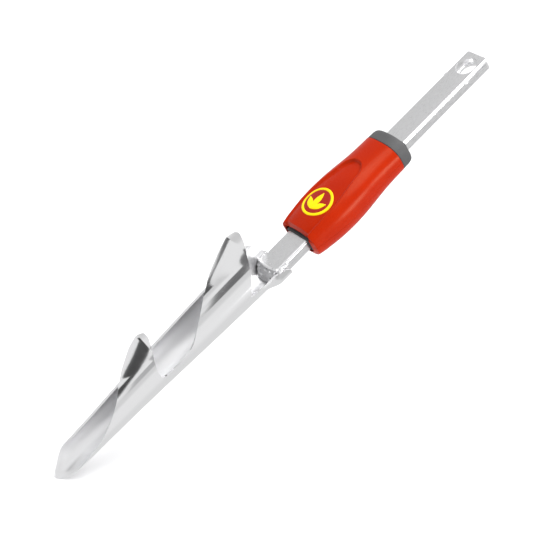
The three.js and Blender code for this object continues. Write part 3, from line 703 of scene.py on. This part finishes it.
def screw_bmesh(z):
    """A self-tapping screw with a pan head, its shank along Y."""
    around = np.linspace(0, 2 * math.pi, 24, endpoint=False)
    ring = lambda r, y: [(r * math.cos(a), y, z + r * math.sin(a)) for a in around]
    loops = [ring(0.25, SCREW_TIP_Y), ring(THREAD_CORE * 0.8, SCREW_TIP_Y + 1.2)]
    for k in range(THREAD_TURNS):
        y = SCREW_TIP_Y + 1.6 + k * THREAD_PITCH
        loops += [ring(THREAD_CORE, y), ring(THREAD_CREST, y + 0.35), ring(THREAD_CORE, y + 0.7)]
    loops += [ring(THREAD_CORE, SCREW_SEAT_Y), ring(3.5, SCREW_SEAT_Y), ring(3.5, SCREW_SEAT_Y + 0.9),
              ring(3.1, SCREW_HEAD_Y - 0.45), ring(2.2, SCREW_HEAD_Y - 0.08), ring(1.0, SCREW_HEAD_Y)]
    return prism_bmesh(loops)


def screw(name, z, material, replaces):
    """A screw with a cross slot in its head."""
    piece = finish_mesh(name, screw_bmesh(z), material, replaces, sharp=30)
    tools = []
    for x, half in ((SLOT_LONG, SLOT_SHORT), (SLOT_SHORT, SLOT_LONG)):
        corners = [(-x, -half), (x, -half), (x, half), (-x, half)]
        slot = prism_bmesh([[(a * size, y, z + b * size) for a, b in corners] for y, size in SLOT_LEVELS])
        tools.append(("DIFFERENCE", cutter(slot)))
    cut(piece, tools)
    shade(piece.data, 30)
    return piece


# Materials
class Nodes:
    """A short way to write a node tree."""

    def __init__(self, name, tree=None):
        self.material = None
        if tree is None:
            self.material = bpy.data.materials.new(name)
            self.material.use_nodes = True
            tree = self.material.node_tree
        self.tree = tree
        self.tree.nodes.clear()

    def add(self, kind, *links, **settings):
        node = self.tree.nodes.new("ShaderNode" + kind)
        for key, value in settings.items():
            setattr(node, key, value)
        for name, value in links:
            self.put(node, name, value)
        return node

    def put(self, node, name, value):
        socket = node.inputs[name]
        if isinstance(value, bpy.types.NodeSocket):
            self.tree.links.new(value, socket)
        else:
            socket.default_value = value

    def math(self, operation, a, b):
        return self.add("Math", (0, a), (1, b), operation=operation).outputs[0]

    def place(self, scale=(1, 1, 1)):
        """Object coordinates, in metres, stretched."""
        at = self.add("TexCoord").outputs["Object"]
        return self.add("Mapping", ("Vector", at), ("Scale", scale)).outputs[0]

    def noise(self, scale, stretch=(1, 1, 1), detail=3.0, rough=0.5):
        return self.add("TexNoise", ("Vector", self.place(stretch)), ("Scale", scale),
                        ("Detail", detail), ("Roughness", rough)).outputs[0]

    def span(self, value, low, high, to_low=0.0, to_high=1.0):
        return self.add("MapRange", ("Value", value), ("From Min", low), ("From Max", high),
                        ("To Min", to_low), ("To Max", to_high)).outputs[0]

    def mix(self, factor, a, b):
        node = self.add("Mix", (0, factor), data_type="RGBA")
        self.put(node, 6, a)
        self.put(node, 7, b)
        return node.outputs[2]

    def bump(self, height, distance, strength=1.0, before=None):
        links = [("Height", height), ("Distance", distance), ("Strength", strength)]
        if before is not None:
            links.append(("Normal", before))
        return self.add("Bump", *links).outputs[0]

    def surface(self, **inputs):
        shader = self.add("BsdfPrincipled")
        for name, value in inputs.items():
            self.put(shader, name.replace("_", " "), value)
        output = self.add("OutputMaterial")
        self.tree.links.new(shader.outputs[0], output.inputs["Surface"])
        return self.material


def grey(value):
    return (value, value, value * 1.01, 1)


def bright_plating():
    """Polished plated sheet, duller inside the roll: faint drawing lines, scuffs and slight waviness."""
    n = Nodes("bright_plating")
    at = n.add("TexCoord").outputs["Object"]
    from_axis = n.add("VectorMath", (0, at), (1, tuple(TUBE_CENTRE)), operation="SUBTRACT").outputs[0]
    flat = n.add("VectorMath", (0, from_axis), (1, (1, 1, 0)), operation="MULTIPLY").outputs[0]
    facing = n.add("NewGeometry").outputs["Normal"]
    outwards = n.add("VectorMath", (0, flat), (1, facing), operation="DOT_PRODUCT").outputs["Value"]
    inside = n.span(outwards, 0.0, -0.004)
    lines = n.noise(900, (1, 1, 0.05), 2)
    waves = n.noise(16, detail=1)
    scuff = n.span(n.noise(420, (0.5, 0.5, 1.4), 5, 0.7), 0.60, 0.74)
    where = n.span(n.noise(30, detail=2), 0.54, 0.66)
    scuffed = n.math("MULTIPLY", scuff, where)
    rough = n.math("ADD", n.span(lines, 0.3, 0.7, 0.10, 0.15), n.math("MULTIPLY", scuffed, 0.2))
    rough = n.math("ADD", rough, n.math("MULTIPLY", inside, 0.27))
    colour = n.mix(n.math("MULTIPLY", scuffed, 0.35), grey(0.95), grey(0.70))
    colour = n.mix(inside, colour, grey(0.93))
    normal = n.bump(waves, 0.0002, 0.3)
    normal = n.bump(lines, 0.000008, 0.5, normal)
    return n.surface(Base_Color=colour, Metallic=1.0, Roughness=rough, Normal=normal)


def satin_plating():
    """Plated tongue: fine rolling lines along its length and small dark specks."""
    n = Nodes("satin_plating")
    grain = n.noise(2400, (1, 1, 0.1), 3, 0.6)
    cloud = n.noise(70, (1, 1, 0.3), 3)
    speck = n.span(n.noise(1500, detail=1), 0.72, 0.78)
    base = n.mix(n.span(cloud, 0.3, 0.7), grey(0.80), grey(0.86))
    base = n.mix(n.span(grain, 0.3, 0.7), base, grey(0.88))
    colour = n.mix(n.math("MULTIPLY", speck, 0.5), base, grey(0.42))
    rough = n.span(grain, 0.25, 0.75, 0.24, 0.34)
    return n.surface(Base_Color=colour, Metallic=1.0, Roughness=rough, Normal=n.bump(grain, 0.000005, 0.4))


def weld_metal():
    """Plated weld metal: softly lumpy, with a few flat dark spots painted in as the shade of pin holes."""
    n = Nodes("weld_metal")
    lump = n.noise(330, detail=2, rough=0.5)
    # painted shade: flat dark spots, with no dent under them, stand in for the shade inside pin holes
    pit = n.span(n.noise(620, detail=1), 0.70, 0.74)
    colour = n.mix(pit, n.mix(n.span(lump, 0.3, 0.7), grey(0.80), grey(0.92)), grey(0.14))
    rough = n.span(lump, 0.3, 0.7, 0.38, 0.26)
    return n.surface(Base_Color=colour, Metallic=1.0, Roughness=rough, Normal=n.bump(lump, 0.00012, 0.5))


def moulded(name, colour, darker, rough, grain=0.00002, tint=(1, 1, 1)):
    """Moulded plastic: fine spark-eroded grain and slight mottling."""
    n = Nodes(name)
    fine = n.noise(2600, detail=2)
    broad = n.noise(45, detail=2)
    base = n.mix(n.span(broad, 0.35, 0.65), (*colour, 1), (*darker, 1))
    roughness = n.span(fine, 0.3, 0.7, rough - 0.04, rough + 0.04)
    return n.surface(Base_Color=base, Roughness=roughness, Normal=n.bump(fine, grain, 0.6),
                     Specular_IOR_Level=0.2, Specular_Tint=(*tint, 1))


def zinc():
    n = Nodes("zinc")
    grain = n.noise(1200, detail=3)
    colour = n.mix(n.span(grain, 0.3, 0.7), grey(0.55), grey(0.72))
    return n.surface(Base_Color=colour, Metallic=1.0, Roughness=n.span(grain, 0.3, 0.7, 0.28, 0.4),
                     Normal=n.bump(grain, 0.00005, 0.5))


# The object
TUBE_CENTRE = (np.array([0, -9.5, 0]) + AXIS) * MM  # the tube's middle, taken as straight
PLATED = bright_plating()
SATIN = satin_plating()
WELD = weld_metal()
RED = moulded("red_plastic", (0.43, 0.016, 0.0), (0.40, 0.013, 0.0), 0.27, tint=(1.0, 0.72, 0.45))
GREY = moulded("grey_plastic", (0.092, 0.092, 0.094), (0.078, 0.078, 0.080), 0.5, grain=0.00005)
DARK = moulded("dark_plastic", (0.05, 0.05, 0.052), (0.04, 0.04, 0.042), 0.5, grain=0.00005)
FIELD = moulded("badge_red", (0.36, 0.018, 0.008), (0.32, 0.015, 0.007), 0.3)
YELLOW = moulded("badge_yellow", (0.95, 0.72, 0.0), (0.90, 0.67, 0.0), 0.35)
ZINC = zinc()

outer, inner, cells = blade_faces()
finish_mesh("rolled_blade", sheet_bmesh(outer, inner, cells), PLATED, "blade",
            sharp=32, bevel=0.16)
tongue_half("tongue_cover_plate", "tongue_front_half", True, SATIN)
tongue_half("tongue_channel", "tongue_rear_half", False, SATIN)
end_fillet(WELD)
leg_weld("left_leg_weld", -1, WELD, "weld_left_leg")
leg_weld("right_leg_weld", 1, WELD, "weld_right_leg")
seam_tack("right_seam_tack", 1, WELD, "seam_tack_right")
seam_tack("left_seam_tack", -1, WELD, "seam_tack_left")
finish_mesh("core_moulding", core_bmesh(), DARK, "sleeve_core", sharp=40)
finish_mesh("collar_ring", collar_bmesh(), GREY, "collar", sharp=40)
finish_mesh("front_shell_moulding", shell_bmesh(True), RED, "front_shell",
            sharp=40, bevel=0.3, segments=3)
finish_mesh("rear_shell_moulding", shell_bmesh(False), RED, "rear_shell",
            sharp=40, bevel=0.3, segments=3)
ring_inside = 1 - BADGE_RING / BADGE_HALF[0]
finish_mesh("badge_field_plate", badge_band(0.001, ring_inside + 0.002, -0.1, 0.3), FIELD,
            "badge_plate")
finish_mesh("badge_yellow_ring", badge_band(ring_inside, 1, -0.1, BADGE_THICK), YELLOW,
            "badge_ring")
finish_mesh("badge_leaves", emblem_bmesh(0.28, 0.7), YELLOW, "badge_emblem")
for at, which in zip(SCREW_AT, ("lower", "upper")):
    screw(f"{which}_sleeve_screw", at, ZINC, f"sleeve_screw_{which}")

# Camera, in the photograph's view: turned round the tool, leaning up at it, and rolled
CAMERA_TURN, CAMERA_LEAN, CAMERA_ROLL = math.radians(46.66), math.radians(-11.41), math.radians(44.81)
CAMERA_AT = (753.2, -715.3, -10.1)
LENS, SENSOR = 104.76, 36.0

back = Vector((math.sin(CAMERA_TURN) * math.cos(CAMERA_LEAN),
               -math.cos(CAMERA_TURN) * math.cos(CAMERA_LEAN), math.sin(CAMERA_LEAN)))
level_right = Vector((math.cos(CAMERA_TURN), math.sin(CAMERA_TURN), 0))
level_up = back.cross(level_right)
right = math.cos(CAMERA_ROLL) * level_right + math.sin(CAMERA_ROLL) * level_up
up = math.cos(CAMERA_ROLL) * level_up - math.sin(CAMERA_ROLL) * level_right


def turned(x, y, z, at):
    """A placement whose axes are x, y and z, at a point in millimetres about the tool's axis."""
    matrix = Matrix((x, y, z)).transposed().to_4x4()
    matrix.translation = (Vector(at) + Vector(AXIS)) * MM
    return matrix


def add_camera():
    data = bpy.data.cameras.new("camera")
    data.lens, data.sensor_width = LENS, SENSOR
    data.clip_start, data.clip_end = 0.01, 20
    camera = linked("camera", data)
    camera.matrix_world = turned(right, up, back, CAMERA_AT)
    bpy.context.scene.camera = camera


# Stage
def seen(toward_right, toward_up, toward_back):
    """A direction given as the camera sees it."""
    return (toward_right * right + toward_up * up + toward_back * back).normalized()


FLOOR_PITCH = math.radians(27)
floor_normal = seen(0, math.cos(FLOOR_PITCH), math.sin(FLOOR_PITCH))
FLOOR_HALF = 1500
FLOOR_GAP = 0.3
FLOOR_LIFT = 0.06  # evens out the paper, so that only the deepest shadow shows


def flat_sheet(name, half_x, half_y, material):
    """A flat rectangle of the stage, its sizes in millimetres."""
    bm = bmesh.new()
    corners = [(-half_x, -half_y, 0), (half_x, -half_y, 0), (half_x, half_y, 0), (-half_x, half_y, 0)]
    bm.faces.new([bm.verts.new(corner) for corner in corners])
    mesh = bpy.data.meshes.new(name)
    bm.to_mesh(mesh)
    bm.free()
    mesh.transform(Matrix.Scale(MM, 4))
    mesh.materials.append(material)
    return linked(name, mesh)


def add_floor():
    """A pale floor under the tip, square to the camera's roll; it can't be seen from below."""
    lowest = min(Vector(corner).dot(floor_normal) for corner in outer.reshape(-1, 3))
    n = Nodes("floor_paper")
    geometry = n.add("NewGeometry")
    paper = n.add("BsdfDiffuse", ("Color", n.mix(n.noise(300, detail=2), grey(0.93), grey(0.96))))
    lit = n.add("Emission", ("Color", grey(1.0)), ("Strength", FLOOR_LIFT))
    paper = n.add("AddShader", (0, paper.outputs[0]), (1, lit.outputs[0]))
    clear = n.add("BsdfTransparent")
    behind = geometry.outputs["Backfacing"]
    either = n.add("MixShader", (0, behind), (1, paper.outputs[0]), (2, clear.outputs[0]))
    n.add("OutputMaterial", ("Surface", either.outputs[0]))
    floor = flat_sheet("floor", FLOOR_HALF, FLOOR_HALF, n.material)
    place = floor_normal * (lowest - FLOOR_GAP)
    floor.matrix_world = turned(right, floor_normal.cross(right), floor_normal, place)
    floor.visible_glossy = False


def add_world():
    """Plain white behind; what the metal mirrors is a white room with a few soft dark openings."""
    world = bpy.data.worlds.new("studio")
    bpy.context.scene.world = world
    world.use_nodes = True
    n = Nodes("", world.node_tree)
    direction = n.add("TexCoord").outputs["Generated"]
    room = ROOM_LEVEL
    for azimuth, elevation, reach, fade, depth in DARK_OPENINGS:
        toward = tuple(seen_at(azimuth, elevation))
        dot = n.add("VectorMath", (0, direction), (1, toward), operation="DOT_PRODUCT").outputs["Value"]
        far, near = (math.cos(math.radians(angle)) for angle in (reach + fade, reach))
        edge = n.add("MapRange", ("Value", dot), ("From Min", far), ("From Max", near), ("To Min", 1.0),
                     ("To Max", 1 - depth), interpolation_type="SMOOTHSTEP").outputs[0]
        room = n.math("MULTIPLY", room, edge)
    path = n.add("LightPath")
    for ray, strength in (("Is Diffuse Ray", DIFFUSE_LEVEL), ("Is Camera Ray", 1.0)):
        kind = path.outputs[ray]
        room = n.math("ADD", n.math("MULTIPLY", room, n.math("SUBTRACT", 1.0, kind)),
                      n.math("MULTIPLY", kind, strength))
    background = n.add("Background", ("Color", room), ("Strength", 1.0))
    n.add("OutputWorld", ("Surface", background.outputs[0]))


def seen_at(azimuth, elevation):
    """A direction by its angles from the camera's own axes: 0, 0 points back at the camera."""
    a, e = math.radians(azimuth), math.radians(elevation)
    return seen(math.sin(a) * math.cos(e), math.sin(e), math.cos(a) * math.cos(e))


ROOM_LEVEL = 0.80
DIFFUSE_LEVEL = 0.78
DARK_OPENINGS = [  # azimuth, elevation, reach, fade and depth of what the metal mirrors as dark
    (2, 22, 8, 18, 0.18),
    (134, -37, 20, 40, 0.1),
    (92, -25, 4, 9, 0.4),
    (-105, 64, 10, 16, 0.25),
]


# Dark cards close to the blade, seen only in its reflections: where each is seen from, its azimuth
# and elevation from there, its angular width and height, its tilt in its own plane, and its tone
WING_ONE, WING_TWO = (-18, -14, 95), (-19, -14, 184)
CARD_DISTANCE = 220
CARDS = [
    (WING_ONE, -62, 31, 50, 20, -8, 0.06),
    (WING_ONE, -15, 27, 26, 14, 0, 0.42),
    (WING_TWO, -14, 32, 34, 14, 0, 0.14),
    (WING_TWO, -112, 40, 16, 16, 0, 0.08),
]


def add_cards():
    for number, (seen_from, azimuth, elevation, wide, high, tilt, tone) in enumerate(CARDS):
        toward = seen_at(azimuth, elevation)
        x = toward.cross(level_up).normalized()
        x = Matrix.Rotation(math.radians(tilt), 3, toward) @ x
        half_x = CARD_DISTANCE * math.tan(math.radians(wide / 2))
        half_y = CARD_DISTANCE * math.tan(math.radians(high / 2))
        n = Nodes(f"card_{number}")
        glow = n.add("Emission", ("Color", grey(tone)), ("Strength", 1.0))
        n.add("OutputMaterial", ("Surface", glow.outputs[0]))
        card = flat_sheet(f"card_{number}", half_x, half_y, n.material)
        place = Vector(seen_from) + toward * CARD_DISTANCE
        card.matrix_world = turned(x, toward.cross(x), toward, place)
        for ray in ("camera", "diffuse", "shadow", "transmission", "volume_scatter"):
            setattr(card, "visible_" + ray, False)


def add_light(name, direction, distance, size, power):
    data = bpy.data.lights.new(name, "AREA")
    data.shape = "DISK"
    data.size = size * MM
    data.energy = power
    lamp = linked(name, data)
    middle = Vector((0, 0, OVERALL / 2))
    x = direction.orthogonal().normalized()
    lamp.matrix_world = turned(x, direction.cross(x), direction, middle + direction * distance)


add_camera()
add_floor()
add_world()
add_cards()
add_light("key", seen_at(35, 58), distance=1300, size=1300, power=17)
add_light("flank", seen_at(62, -12), distance=1300, size=500, power=6)
bpy.context.scene.view_settings.view_transform = "Standard"

bpy.context.view_layer.update()
